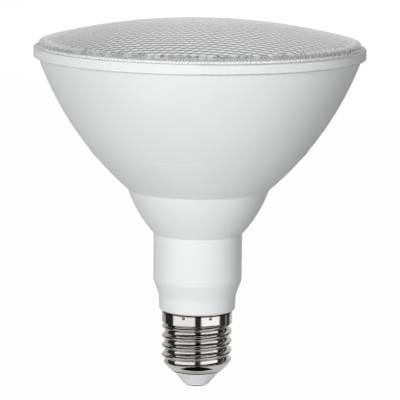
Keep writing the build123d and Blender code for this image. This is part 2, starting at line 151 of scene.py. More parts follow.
tree.links.new(relief.outputs["Normal"], shader.inputs["Normal"])
dress(white_plastic, "housing", "bezel_ring")

# %% [markdown]
# ## Bright nickel
# The screw shell is thin brass, rolled to a thread and then nickel plated. Nickel is a warm white mirror.
# What tells it from chrome is that warmth and the fine lines which the roller drew round it. A noise
# squeezed flat along the axis gives such lines: it changes every 0.15 mm up the cap but only every 5 mm
# along it. A second, rounder noise dulls the plate in patches, as fingers and the packing do. Painted shade
# darkens the plate towards both ends: in the corner under the collar and at the rolled lip below.

# %% Nickel plate for the shell
ROLLED_LINE, ROLLED_LENGTH = 0.15 * MM, 5 * MM
# Painted shade on the shell: how far below its top and above its lip the plate is darkened
COLLAR_PAINTED_SHADE = (0.95 * MM, 0.5 * MM)  # below the shell's top: where it starts and where it is full
LIP_PAINTED_SHADE = (0.5 * MM, 0.15 * MM)  # above the shell's lip, in the same order
low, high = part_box("cap_shell")
nickel, tree, shader = new_finish("bright_nickel_plate", Metallic=1.0)
place = add_node(tree, "TexCoord").outputs["Object"]
axes = add_node(tree, "SeparateXYZ", {0: place})
height = axes.outputs["Z"]
squeeze = (1 / ROLLED_LENGTH, 1 / ROLLED_LENGTH, 1 / ROLLED_LINE)
squeezed = add_node(tree, "Mapping", {"Vector": place, "Scale": squeeze})
lines = add_node(tree, "TexNoise", {"Vector": squeezed.outputs[0], "Scale": 1.0, "Detail": 2.0})
relief = add_node(tree, "Bump", {"Height": lines.outputs[0], "Strength": 0.1, "Distance": 0.01 * MM})
smudge = add_node(tree, "TexNoise", {"Vector": place, "Scale": 1 / (4 * MM), "Detail": 3.0})
dull = add_node(tree, "MapRange", {0: smudge.outputs[0], 1: 0.35, 2: 0.7, 3: 0.05, 4: 0.15})
# Painted shade: the plate's colour is mixed towards near black under the collar and at the lip
shade_under_collar = add_node(tree, "MapRange", {0: height, 1: high.z - COLLAR_PAINTED_SHADE[0], 2: high.z - COLLAR_PAINTED_SHADE[1]})
shade_at_lip = add_node(tree, "MapRange", {0: height, 1: low.z + LIP_PAINTED_SHADE[0], 2: low.z + LIP_PAINTED_SHADE[1]})
painted_shade = add_node(tree, "Math", {0: shade_under_collar.outputs[0], 1: shade_at_lip.outputs[0]}, operation="MAXIMUM")
tone = add_node(tree, "Mix", {0: painted_shade.outputs[0], 6: linear("DAD8D3"), 7: linear("383634")}, data_type="RGBA")
tree.links.new(tone.outputs[2], shader.inputs["Base Color"])
tree.links.new(dull.outputs[0], shader.inputs["Roughness"])
tree.links.new(relief.outputs["Normal"], shader.inputs["Normal"])
dress(nickel, "cap_shell")

# %% [markdown]
# Rolling thin brass leaves the hollows of the thread a little rounder than the CAD profile has them. A
# mirror shows that at once, because the highlights grow narrow. A wave along the axis whose phase turns
# with the bearing is a helix, so it can follow the thread. Where the crests stand is measured on the mesh.

# %% Rounder hollows in the thread
THREAD_PITCH = 3.629 * MM
HOLLOW_DEPTH = 0.18 * MM
CREST_BAND = 0.03 * MM
THREAD_START = (3.7 * MM, 5.2 * MM)  # above the lip: where the thread fades in
THREAD_END = (3.9 * MM, 4.9 * MM)  # below the shell's top: where it fades out
WAVE_RADIANS = 20  # how far a wave texture of scale 1 turns in one metre
shell_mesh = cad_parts["cap_shell"].data
crests = [vert.co for vert in shell_mesh.vertices if vert.co.xy.length > high.x - CREST_BAND]
turns = [math.tau * crest.z / THREAD_PITCH - math.atan2(crest.y, crest.x) for crest in crests]
crest_turn = math.atan2(sum(math.sin(turn) for turn in turns), sum(math.cos(turn) for turn in turns))
bearing = add_node(tree, "Math", {0: axes.outputs["Y"], 1: axes.outputs["X"]}, operation="ARCTAN2")
phase = add_node(tree, "Math", {0: math.pi - crest_turn, 1: bearing.outputs[0]}, operation="SUBTRACT")
wave_scale = math.tau / WAVE_RADIANS / THREAD_PITCH
helix = add_node(tree, "TexWave", {"Vector": place, "Scale": wave_scale, "Distortion": 0.0,
                                   "Phase Offset": phase.outputs[0]},
                 wave_type="BANDS", bands_direction="Z", wave_profile="SIN")
above_lip = add_node(tree, "MapRange", {0: height, 1: low.z + THREAD_START[0], 2: low.z + THREAD_START[1]})
below_band = add_node(tree, "MapRange", {0: height, 1: high.z - THREAD_END[0], 2: high.z - THREAD_END[1]})
threaded = add_node(tree, "Math", {0: above_lip.outputs[0], 1: below_band.outputs[0]}, operation="MINIMUM")
rolled = add_node(tree, "Math", {0: helix.outputs[1], 1: threaded.outputs[0]}, operation="MULTIPLY")
hollows = add_node(tree, "Bump", {"Height": rolled.outputs[0], "Strength": 1.0, "Distance": HOLLOW_DEPTH})
tree.links.new(hollows.outputs["Normal"], relief.inputs["Normal"])
print("thread crests measured at", len(crests), "points")

# %% [markdown]
# The tip contact is plated too, but the holder's spring rubs it and sparks dull it, so it is a darker metal
# with a coarse, cloudy wear. A noise of 1 mm goes into both the colour and the roughness. Above the flat
# face that the spring rubs, the rim gets painted shade, near black. A step on the height finds the rim.

# %% Worn plate for the contact, with painted shade on its rim
WEAR = 1.0 * MM
# Painted shade, near black, on the contact's rim above its flat face
RIM_PAINTED_SHADE = (0.05 * MM, 0.2 * MM)  # heights at which it starts and is full
worn, tree, shader = new_finish("worn_nickel_contact_with_painted_shade", Metallic=1.0)
place = add_node(tree, "TexCoord").outputs["Object"]
wear = add_node(tree, "TexNoise", {"Vector": place, "Scale": 1 / WEAR, "Detail": 4.0})
tone = add_node(tree, "Mix", {0: wear.outputs[0], 6: linear("6E6C68"), 7: linear("A3A19C")}, data_type="RGBA")
dull = add_node(tree, "MapRange", {0: wear.outputs[0], 1: 0.3, 2: 0.7, 3: 0.18, 4: 0.4})
axes = add_node(tree, "SeparateXYZ", {0: place})
rim = add_node(tree, "MapRange", {0: axes.outputs["Z"], 1: RIM_PAINTED_SHADE[0], 2: RIM_PAINTED_SHADE[1]})
shaded_rim_tone = add_node(tree, "Mix", {0: rim.outputs[0], 6: tone.outputs[2], 7: linear("1C1B1A")}, data_type="RGBA")
tree.links.new(shaded_rim_tone.outputs[2], shader.inputs["Base Color"])
tree.links.new(dull.outputs[0], shader.inputs["Roughness"])
dress(worn, "tip_contact")

# %% [markdown]
# ## The pale insulator
# Between shell and contact sits a plug of pale filled plastic. It is denser and glossier than the body, a
# touch bluer, and the filler shows as faint flow marks. A noise that is stretched round the plug draws
# them.

# %% Filled plastic for the insulator
FLOW_LENGTH, FLOW_WIDTH = 6 * MM, 1.2 * MM
insulator_plastic, tree, shader = new_finish("filled_polyester_moulding", IOR=1.55)
place = add_node(tree, "TexCoord").outputs["Object"]
stretch = (1 / FLOW_LENGTH, 1 / FLOW_LENGTH, 1 / FLOW_WIDTH)
stretched = add_node(tree, "Mapping", {"Vector": place, "Scale": stretch})
flow = add_node(tree, "TexNoise", {"Vector": stretched.outputs[0], "Scale": 1.0, "Detail": 4.0})
tone = add_node(tree, "Mix", {0: flow.outputs[0], 6: linear("EEEEF0"), 7: linear("F8F8F9")}, data_type="RGBA")
gloss = add_node(tree, "MapRange", {0: flow.outputs[0], 1: 0.3, 2: 0.7, 3: 0.28, 4: 0.4})
tree.links.new(tone.outputs[2], shader.inputs["Base Color"])
tree.links.new(gloss.outputs[0], shader.inputs["Roughness"])
dress(insulator_plastic, "cap_insulator")

# %% [markdown]
# ## Clear polycarbonate
# The lens is clear polycarbonate, which bends light more than window glass does: its IOR is 1.586. It is
# fully transmissive, with a little haze where the melt flowed. No tint is needed, since what shows through
# it is the mirror of the reflector.

# %% Polycarbonate for the lens
POLYCARBONATE_IOR = 1.586
MELT = 14 * MM
clear, tree, shader = new_finish("clear_polycarbonate", Base_Color=linear("F8F9F9"), IOR=POLYCARBONATE_IOR,
                                 Transmission_Weight=1.0)
place = add_node(tree, "TexCoord").outputs["Object"]
melt = add_node(tree, "TexNoise", {"Vector": place, "Scale": 1 / MELT, "Detail": 2.0})
haze = add_node(tree, "MapRange", {0: melt.outputs[0], 1: 0.3, 2: 0.7, 3: 0.1, 4: 0.16})
tree.links.new(haze.outputs[0], shader.inputs["Roughness"])
print(clear.name, "bends light by", POLYCARBONATE_IOR)

# %% [markdown]
# The lens's round shoulder and its skirt are left grained by the mould. Light that runs sideways in clear
# plastic would be trapped there by total reflection and leave a black line round the lens; the grain
# scatters it to grey specks. The foot of the skirt is wetted by the silicone that seals it, so it is paler.
# In both, half of the light goes through and half is scattered.

# %% Grained and sealed polycarbonate for the lens's rim
RIM_GRAIN = 0.5 * MM
rim_finishes = []
for name, dark, light in (
        ("grained_polycarbonate", "D8DADA", "F3F5F5"),
        ("sealed_polycarbonate", "F2F2F0", "FCFCFA")):
    rim_finish, tree, shader = new_finish(name, IOR=POLYCARBONATE_IOR, Transmission_Weight=0.5)
    place = add_node(tree, "TexCoord").outputs["Object"]
    grain = add_node(tree, "TexNoise", {"Vector": place, "Scale": 1 / RIM_GRAIN, "Detail": 2.0})
    tone = add_node(tree, "Mix", {0: grain.outputs[0], 6: linear(dark), 7: linear(light)}, data_type="RGBA")
    rough = add_node(tree, "MapRange", {0: grain.outputs[0], 1: 0.3, 2: 0.7, 3: 0.15, 4: 0.35})
    relief = add_node(tree, "Bump", {"Height": grain.outputs[0], "Strength": 0.2, "Distance": 0.1 * MM})
    tree.links.new(tone.outputs[2], shader.inputs["Base Color"])
    tree.links.new(rough.outputs[0], shader.inputs["Roughness"])
    tree.links.new(relief.outputs["Normal"], shader.inputs["Normal"])
    rim_finishes.append(rim_finish)
print("rim finishes:", ", ".join(rim_finish.name for rim_finish in rim_finishes))

# %% [markdown]
# ## The lens
# The lens is one clear moulding: a shallow dome, a rounded shoulder and a short skirt that stands in the
# ring. Outside it is smooth. Inside it is covered by small round lenslets, packed like a honeycomb, that
# spread the beam. A bump map could fake them, but light bends through real forms quite differently, so they
# are modelled. The dome's outline is an arc drawn by spinning one vertex about the dome's centre. The skirt
# has one more ring of vertices just over the white ring, where the sealed foot ends.

# %% The lens's outer form
low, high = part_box("lens")
LENS_RADIUS, LENS_FOOT, LENS_TOP = high.x, low.z, high.z
LENS_WALL = 2.4 * MM
DOME_RADIUS = 232 * MM
SHOULDER = 1.1 * MM
SHOULDER_REACH = SHOULDER * 0.77  # from the corner to its arc, dome and skirt being 105 degrees apart
SEALED_HEIGHT = 0.55 * MM
FOOT_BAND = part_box("bezel_ring")[1].z + SEALED_HEIGHT
inner_radius = LENS_RADIUS - LENS_WALL
dome_centre = Vector((0, 0, LENS_TOP - DOME_RADIUS))


def inner_height(radius):
    """How high the lens's inner face stands at a distance from the axis."""
    return dome_centre.z + math.sqrt((DOME_RADIUS - LENS_WALL) ** 2 - radius ** 2)


lens_form = bmesh.new()
apex = lens_form.verts.new((0, 0, LENS_TOP))
arc = bmesh.ops.spin(lens_form, geom=[apex], cent=dome_centre, axis=(0, 1, 0), dvec=(0, 0, 0),
                     angle=math.asin(LENS_RADIUS / DOME_RADIUS), steps=28)
shoulder = [item for item in arc["geom_last"] if isinstance(item, bmesh.types.BMVert)]
end = shoulder[0]
for radius, height in ((LENS_RADIUS, FOOT_BAND), (LENS_RADIUS, LENS_FOOT), (inner_radius, LENS_FOOT),
                       (inner_radius, FOOT_BAND), (inner_radius, inner_height(inner_radius))):
    end = bmesh.ops.extrude_vert_indiv(lens_form, verts=[end])["verts"][0]
    end.co = (radius, 0, height)
bmesh.ops.bevel(lens_form, geom=shoulder, offset=SHOULDER_REACH, offset_type="OFFSET", affect="VERTICES",
                segments=6, profile=0.5, material=-1)
bmesh.ops.spin(lens_form, geom=lens_form.verts[:] + lens_form.edges[:], cent=(0, 0, 0), axis=(0, 0, 1),
               dvec=(0, 0, 0), angle=math.tau, steps=160, use_merge=True)
bmesh.ops.remove_doubles(lens_form, verts=lens_form.verts[:], dist=0.002 * MM)
print("lens shell:", len(lens_form.faces), "faces, open edges:", sum(e.is_boundary for e in lens_form.edges))

# %% [markdown]
# The honeycomb starts as one flat hexagon. Spinning it by no angle at all, but with a step, lays out copies
# in a row, and a second spin lays out the rows. What falls outside the lens is deleted. Poking and
# subdividing gives each cell 24 triangles, enough to round it, and then every vertex is pushed to its place
# under the dome. Cells that would stick out through the skirt are squeezed to end just inside it.

# %% A honeycomb of lenslets
LENSLET_PITCH = 3.0 * MM
LENSLET_CURVE = 4.6 * MM
LENSLET_TURN = math.radians(-7)
FIELD_RADIUS = inner_radius - 0.15 * MM
LAST_MIDDLE = inner_radius - 0.8 * MM  # how far out a cell's middle may lie
corner_reach = LENSLET_PITCH / math.sqrt(3)
row_step = LENSLET_PITCH * math.sqrt(3)

field = bmesh.new()
bmesh.ops.create_circle(field, cap_ends=True, segments=6, radius=corner_reach)
twin = bmesh.ops.duplicate(field, geom=field.verts[:] + field.edges[:] + field.faces[:])
bmesh.ops.translate(field, vec=(LENSLET_PITCH / 2, row_step / 2, 0),
                    verts=[item for item in twin["geom"] if isinstance(item, bmesh.types.BMVert)])
across = int(2 * inner_radius / LENSLET_PITCH) + 2
along = int(2 * inner_radius / row_step) + 2
for count, step in ((across, (LENSLET_PITCH, 0, 0)), (along, (0, row_step, 0))):
    bmesh.ops.spin(field, geom=field.verts[:] + field.edges[:] + field.faces[:], cent=(0, 0, 0),
                   axis=(0, 0, 1), dvec=step, angle=0, steps=count, use_duplicate=True)
bmesh.ops.translate(field, vec=(-across * LENSLET_PITCH / 2, -along * row_step / 2, 0), verts=field.verts[:])
bmesh.ops.rotate(field, cent=(0, 0, 0), matrix=Matrix.Rotation(LENSLET_TURN, 3, "Z"), verts=field.verts[:])
outside = [face for face in field.faces if face.calc_center_median().length > LAST_MIDDLE]
bmesh.ops.delete(field, geom=outside, context="FACES")
bmesh.ops.remove_doubles(field, verts=field.verts[:], dist=0.01 * MM)
print("lenslets:", len(field.faces))

# %% Rounding the lenslets and hanging them under the dome
SEAM_REACH = LENSLET_PITCH * 0.49  # an edge this far from every middle lies between two cells and stays sharp
poked = bmesh.ops.poke(field, faces=field.faces[:])
middles = KDTree(len(poked["verts"]))
for index, vert in enumerate(poked["verts"]):
    middles.insert(vert.co, index)
middles.balance()
bmesh.ops.subdivide_edges(field, edges=field.edges[:], cuts=1, use_grid_fill=True)
reach = {vert: middles.find(vert.co)[2] for vert in field.verts}
for edge in field.edges:
    edge.smooth = min(reach[vert] for vert in edge.verts) < SEAM_REACH
for vert in field.verts:
    sag = (corner_reach ** 2 - reach[vert] ** 2) / (2 * LENSLET_CURVE)
    vert.co *= min(1, FIELD_RADIUS / max(vert.co.length, MM))
    vert.co.z = inner_height(vert.co.length) - sag
print("lenslet depth:", round(corner_reach ** 2 / (2 * LENSLET_CURVE) / MM, 2), "mm")

# %% Joining the two into one closed lens
def new_piece(name, form, finish, slot, *stands_for):
    """Makes a mesh object of a finished form, smooth shaded, that rides on the lamp."""
    mesh = bpy.data.meshes.new(name)
    for face in form.faces:
        face.smooth = True
    form.to_mesh(mesh)
    form.free()
    mesh.materials.append(finish)
    piece = bpy.data.objects.new(name, mesh)
    scene.collection.objects.link(piece)
    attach(piece, "root")
    if stands_for:
        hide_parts(*stands_for)
    mesh.calc_loop_triangles()
    print(name, "has", len(mesh.loop_triangles), "triangles")
    return piece


field_mesh = bpy.data.meshes.new("lenslet_field")
field.to_mesh(field_mesh)
field.free()
lens_form.from_mesh(field_mesh)
bpy.data.meshes.remove(field_mesh)
bmesh.ops.bridge_loops(lens_form, edges=[edge for edge in lens_form.edges if edge.is_boundary])
bmesh.ops.recalc_face_normals(lens_form, faces=lens_form.faces[:])
print("lens open edges:", sum(edge.is_boundary for edge in lens_form.edges))
for edge in lens_form.edges:
    if edge.smooth and edge.is_manifold:
        edge.smooth = edge.calc_face_angle() < math.radians(40)
rim_height = dome_centre.z + math.sqrt(DOME_RADIUS ** 2 - LENS_RADIUS ** 2)
for face in lens_form.faces:
    spot = face.calc_center_median()
    on_rim = spot.z < rim_height and spot.xy.length > LENS_RADIUS - SHOULDER
    face.material_index = 2 if spot.z < FOOT_BAND else int(on_rim)
print("grained or sealed:", sum(face.material_index > 0 for face in lens_form.faces), "faces")
lens = new_piece("prismatic_lens", lens_form, clear, "clear_polycarbonate", "lens")
for rim_finish in rim_finishes:
    lens.data.materials.append(rim_finish)
lens.visible_shadow = False

# %% [markdown]
# ## What shows through the lens
# Under the lens stands an aluminised reflector, with a board of light sources at its foot. The metal film
# is only as smooth as the plastic below it, so it has a faint orange peel. The gasket's silicone is milky:
# light sinks in a little before it comes back. The board wears a white solder mask over its copper, and the
# tracks stand a little proud as rings, one for each circle of light sources.

# %% Reflector film
film, tree, shader = new_finish("aluminised_reflector_film", Base_Color=linear("E8E8E8"), Metallic=1.0)
place = add_node(tree, "TexCoord").outputs["Object"]
peel = add_node(tree, "TexNoise", {"Vector": place, "Scale": 1 / (2.5 * MM), "Detail": 1.0})
relief = add_node(tree, "Bump", {"Height": peel.outputs[0], "Strength": 0.15, "Distance": 0.05 * MM})
soft = add_node(tree, "MapRange", {0: peel.outputs[0], 1: 0.3, 2: 0.7, 3: 0.08, 4: 0.16})
tree.links.new(relief.outputs["Normal"], shader.inputs["Normal"])
tree.links.new(soft.outputs[0], shader.inputs["Roughness"])
dress(film, "reflector")

# %% Silicone gasket
silicone, tree, shader = new_finish("translucent_silicone", Base_Color=linear("DADADA"), IOR=1.41,
                                    Subsurface_Weight=0.3, Subsurface_Scale=0.5 * MM)
place = add_node(tree, "TexCoord").outputs["Object"]
bloom = add_node(tree, "TexNoise", {"Vector": place, "Scale": 1 / (3 * MM), "Detail": 3.0})
matt = add_node(tree, "MapRange", {0: bloom.outputs[0], 3: 0.4, 4: 0.6})
tree.links.new(matt.outputs[0], shader.inputs["Roughness"])
dress(silicone, "lens_gasket")

# %% White solder mask
TRACK_STEP = 8 * MM
WAVE_STEP = 0.31  # a wave texture of scale 1 repeats about this often, in metres
mask, tree, shader = new_finish("white_solder_mask", IOR=1.5)
place = add_node(tree, "TexCoord").outputs["Object"]
tracks = add_node(tree, "TexWave", {"Vector": place, "Scale": WAVE_STEP / TRACK_STEP, "Distortion": 0.6,
                                    "Detail": 1.0},
                  wave_type="RINGS", rings_direction="Z", wave_profile="SIN")
edge = add_node(tree, "MapRange", {0: tracks.outputs[1], 1: 0.4, 2: 0.5})
tone = add_node(tree, "Mix", {0: edge.outputs[0], 6: linear("E4E3DC"), 7: linear("F2F1EC")}, data_type="RGBA")
relief = add_node(tree, "Bump", {"Height": edge.outputs[0], "Strength": 0.3, "Distance": 0.04 * MM})
gloss = add_node(tree, "MapRange", {0: tracks.outputs[1], 3: 0.3, 4: 0.42})
tree.links.new(tone.outputs[2], shader.inputs["Base Color"])
tree.links.new(relief.outputs["Normal"], shader.inputs["Normal"])
tree.links.new(gloss.outputs[0], shader.inputs["Roughness"])
dress(mask, "led_board")

# %% [markdown]
# Each light source is a white cup of filled nylon with a yellow gel in its window. The CAD cup has the
# window; the gel is a new piece. A domed grid makes the top of one gel, two spins copy it round the two
# circles, long side along the radius as the cups stand, and solidify gives every copy its thickness and
# closes its rim.

# %% Nylon cups
cup, tree, shader = new_finish("white_filled_nylon", Base_Color=linear("F0EFEA"), IOR=1.53)
place = add_node(tree, "TexCoord").outputs["Object"]
fibre = add_node(tree, "TexNoise", {"Vector": place, "Scale": 1 / (0.3 * MM), "Detail": 2.0})
satin = add_node(tree, "MapRange", {0: fibre.outputs[0], 3: 0.3, 4: 0.5})
tree.links.new(satin.outputs[0], shader.inputs["Roughness"])
dress(cup, "led_packages")

# %% Phosphor gel in the light sources
phosphor, tree, shader = new_finish("phosphor_in_silicone_gel", IOR=1.45, Subsurface_Weight=0.2,
                                    Subsurface_Scale=0.2 * MM)
place = add_node(tree, "TexCoord").outputs["Object"]
powder = add_node(tree, "TexNoise", {"Vector": place, "Scale": 1 / (0.25 * MM), "Detail": 3.0})
tone = add_node(tree, "Mix", {0: powder.outputs[0], 6: linear("E2B02A"), 7: linear("F4D45E")},
                data_type="RGBA")
wet = add_node(tree, "MapRange", {0: powder.outputs[0], 3: 0.12, 4: 0.28})
tree.links.new(tone.outputs[2], shader.inputs["Base Color"])
tree.links.new(wet.outputs[0], shader.inputs["Roughness"])

# %% The gels
GEL_LENGTH, GEL_WIDTH, GEL_DEPTH = 3.04 * MM, 2.34 * MM, 0.09 * MM
GEL_SUNK, GEL_CROWN = 0.04 * MM, 0.035 * MM
cup_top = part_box("led_packages")[1].z
gels = bmesh.new()
for circle, count, turn in ((9.0 * MM, 6, 50), (17.0 * MM, 9, 0)):
    sheet = bmesh.ops.create_grid(gels, x_segments=6, y_segments=6, size=0.5)["verts"]
    for vert in sheet:
        crown = (1 - (2 * vert.co.x) ** 2) * (1 - (2 * vert.co.y) ** 2)
        height = cup_top - GEL_SUNK + crown * GEL_CROWN
        vert.co = (circle + vert.co.x * GEL_LENGTH, vert.co.y * GEL_WIDTH, height)
    faces = list(dict.fromkeys(face for vert in sheet for face in vert.link_faces))
    bmesh.ops.rotate(gels, cent=(0, 0, 0), matrix=Matrix.Rotation(math.radians(turn), 3, "Z"), verts=sheet)
    bmesh.ops.spin(gels, geom=faces, cent=(0, 0, 0), axis=(0, 0, 1), dvec=(0, 0, 0), steps=count - 1,
                   angle=math.tau * (count - 1) / count, use_duplicate=True)
gels.normal_update()
bmesh.ops.solidify(gels, geom=gels.faces[:], thickness=GEL_DEPTH - GEL_SUNK)
bmesh.ops.recalc_face_normals(gels, faces=gels.faces[:])
print("gels open edges:", sum(edge.is_boundary for edge in gels.edges))
new_piece("phosphor_gels", gels, phosphor, "phosphor")

# %% [markdown]
# The two wires from the driver are soldered down where they end. Molten solder climbs the wire and spreads
# on the pad, so a joint is a hollow-sided cone. Its outline is six points, turned round the wire's end. Tin
# sets in fine crystals that frost its shine, so a noise goes into the roughness.

# %% Solder joints on the board
solder, tree, shader = new_finish("tin_solder", Base_Color=linear("C9CACC"), Metallic=1.0)
place = add_node(tree, "TexCoord").outputs["Object"]
frost = add_node(tree, "TexNoise", {"Vector": place, "Scale": 1 / (0.3 * MM), "Detail": 3.0})
dull = add_node(tree, "MapRange", {0: frost.outputs[0], 1: 0.3, 2: 0.7, 3: 0.15, 4: 0.4})
tree.links.new(dull.outputs[0], shader.inputs["Roughness"])

board_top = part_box("led_board")[1].z
positive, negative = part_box("led_lead_positive"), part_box("led_lead_negative")
wire_ends = (Vector((positive[0].x, (positive[0].y + positive[1].y) / 2, board_top)),
             Vector(((negative[0].x + negative[1].x) / 2, negative[1].y, board_top)))
cone = ((1.5, 0.02), (1.15, 0.16), (0.9, 0.5), (0.72, 0.95), (0.4, 1.2), (0, 1.27))  # radius and height in mm
joints = bmesh.new()
for wire_end in wire_ends:
    outline = [joints.verts.new(wire_end + Vector((radius * MM, 0, height * MM))) for radius, height in cone]
    edges = [joints.edges.new(pair) for pair in zip(outline, outline[1:])]
    bmesh.ops.spin(joints, geom=outline + edges, cent=wire_end, axis=(0, 0, 1), dvec=(0, 0, 0),
                   angle=math.tau, steps=24, use_merge=True)
bmesh.ops.remove_doubles(joints, verts=joints.verts[:], dist=0.002 * MM)
bmesh.ops.holes_fill(joints, edges=joints.edges[:], sides=0)
bmesh.ops.recalc_face_normals(joints, faces=joints.faces[:])
new_piece("solder_joints", joints, solder, None)

# %% [markdown]
# ## Metal parts behind the board
# The heat sink is a pressed aluminium cup and the screws are zinc plated. Pressing draws aluminium over the
# tool and leaves streaks along the pull, so its noise is long up the axis. Zinc is greyer and slightly
# blue, with the small spangles of its crystals, which a Voronoi pattern gives.

# %% Aluminium and zinc
aluminium, tree, shader = new_finish("pressed_aluminium", Base_Color=linear("D3D4D6"), Metallic=1.0)
place = add_node(tree, "TexCoord").outputs["Object"]
drawn = add_node(tree, "Mapping", {"Vector": place, "Scale": (1 / (0.4 * MM), 1 / (0.4 * MM), 1 / (8 * MM))})
streak = add_node(tree, "TexNoise", {"Vector": drawn.outputs[0], "Scale": 1.0, "Detail": 2.0})
dull = add_node(tree, "MapRange", {0: streak.outputs[0], 1: 0.3, 2: 0.7, 3: 0.25, 4: 0.42})
relief = add_node(tree, "Bump", {"Height": streak.outputs[0], "Strength": 0.1, "Distance": 0.02 * MM})
tree.links.new(dull.outputs[0], shader.inputs["Roughness"])
tree.links.new(relief.outputs["Normal"], shader.inputs["Normal"])
dress(aluminium, "heat_sink")

zinc, tree, shader = new_finish("zinc_plated_steel", Metallic=1.0)
place = add_node(tree, "TexCoord").outputs["Object"]
spangle = add_node(tree, "TexVoronoi", {"Vector": place, "Scale": 1 / (0.6 * MM)})
tone = add_node(tree, "Mix", {0: spangle.outputs["Distance"], 6: linear("BFC4C9"), 7: linear("D3D6D8")},
                data_type="RGBA")
dull = add_node(tree, "MapRange", {0: spangle.outputs["Distance"], 3: 0.22, 4: 0.36})
tree.links.new(tone.outputs[2], shader.inputs["Base Color"])
tree.links.new(dull.outputs[0], shader.inputs["Roughness"])
dress(zinc, "board_screws")

# %% [markdown]
# ## Wires
# Wire insulation is soft vinyl, drawn through a die, so it is glossy with a slight ripple. The three
# colours differ only in pigment, so a loop makes them.

# %% Vinyl insulation in three colours
for name, dark, light, wires in (
        ("red_vinyl", "A3130F", "B82019", ("led_lead_positive",)),
        ("black_vinyl", "131314", "202022", ("led_lead_negative",)),
        ("white_vinyl", "DEDDD8", "ECEBE7", ("mains_lead_line", "mains_lead_neutral"))):
    vinyl, tree, shader = new_finish(name, IOR=1.53)
    place = add_node(tree, "TexCoord").outputs["Object"]
    ripple = add_node(tree, "TexNoise", {"Vector": place, "Scale": 1 / (0.7 * MM), "Detail": 2.0})
    tone = add_node(tree, "Mix", {0: ripple.outputs[0], 6: linear(dark), 7: linear(light)}, data_type="RGBA")
    gloss = add_node(tree, "MapRange", {0: ripple.outputs[0], 3: 0.22, 4: 0.36})
    tree.links.new(tone.outputs[2], shader.inputs["Base Color"])
    tree.links.new(gloss.outputs[0], shader.inputs["Roughness"])
    dress(vinyl, *wires)

# %% [markdown]
# ## The driver
# The driver is out of sight in the neck, but anyone who opens the lamp meets it. Its board is glass epoxy
# under a green mask, and the copper tracks below the mask show as a lighter, raised net of straight runs. A
# brick pattern is such a net: its mortar is the gap between copper areas.

# %% Green board
green, tree, shader = new_finish("green_mask_on_glass_epoxy", IOR=1.5)
place = add_node(tree, "TexCoord").outputs["Object"]
flat = add_node(tree, "Mapping", {"Vector": place, "Rotation": (math.radians(90), 0, 0)})
copper = add_node(tree, "TexBrick", {
    "Vector": flat.outputs[0], "Color1": linear("1C7A46"), "Color2": linear("18693C"),
    "Mortar": linear("0C4526"), "Scale": 1.0, "Mortar Size": 0.25 * MM, "Brick Width": 6 * MM,
    "Row Height": 2.2 * MM})
relief = add_node(tree, "Bump", {"Height": copper.outputs["Fac"], "Strength": 0.3, "Distance": 0.04 * MM},
                  invert=True)
weave = add_node(tree, "TexNoise", {"Vector": place, "Scale": 1 / (0.5 * MM), "Detail": 1.0})
gloss = add_node(tree, "MapRange", {0: weave.outputs[0], 3: 0.2, 4: 0.36})
tree.links.new(copper.outputs["Color"], shader.inputs["Base Color"])
tree.links.new(relief.outputs["Normal"], shader.inputs["Normal"])
tree.links.new(gloss.outputs[0], shader.inputs["Roughness"])
dress(green, "driver_board")

# %% [markdown]
# Electrolytic capacitors wear a shrunk black sleeve with a pale stripe down the side of the negative pin.
# The sleeve's stripe follows one side of the can, so a step on the X coordinate paints it. The bare pins
# are below the can, where a step on Z puts tin in place of vinyl.

# %% Shrunk sleeves
STRIPE_SHARE, PIN_SHARE = 0.12, 0.28  # the stripe's width and the pins' length, as shares of the can's width
for node in ("bulk_capacitor", "output_capacitor"):
    low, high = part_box(node)
    width = high.x - low.x
    sleeve, tree, shader = new_finish("shrunk_sleeve_of_" + node, IOR=1.53)
    place = add_node(tree, "TexCoord").outputs["Object"]
    axes = add_node(tree, "SeparateXYZ", {0: place})
    side = add_node(tree, "Math", {0: axes.outputs["X"], 1: low.x + width * STRIPE_SHARE},
                    operation="LESS_THAN")
    crease = add_node(tree, "TexNoise", {"Vector": place, "Scale": 1 / (1.5 * MM), "Detail": 2.0})
    tone = add_node(tree, "Mix", {0: side.outputs[0], 6: linear("17171A"), 7: linear("B9BABB")},
                    data_type="RGBA")
    gloss = add_node(tree, "MapRange", {0: crease.outputs[0], 3: 0.18, 4: 0.34})
    relief = add_node(tree, "Bump", {"Height": crease.outputs[0], "Strength": 0.1, "Distance": 0.05 * MM})
    pin = add_node(tree, "Math", {0: axes.outputs["Z"], 1: low.z + width * PIN_SHARE}, operation="LESS_THAN")
    finish = add_node(tree, "Mix", {0: pin.outputs[0], 6: tone.outputs[2], 7: linear("C6C7C8")},
                      data_type="RGBA")
    tree.links.new(finish.outputs[2], shader.inputs["Base Color"])
    tree.links.new(pin.outputs[0], shader.inputs["Metallic"])
    tree.links.new(gloss.outputs[0], shader.inputs["Roughness"])
    tree.links.new(relief.outputs["Normal"], shader.inputs["Normal"])
    dress(sleeve, node)

# %% [markdown]
# The fuse resistor is a rod in flameproof enamel, with the painted rings that give its value. A ramp that
# steps along the rod paints them. Its wires are tin, from the point where they leave the rod.

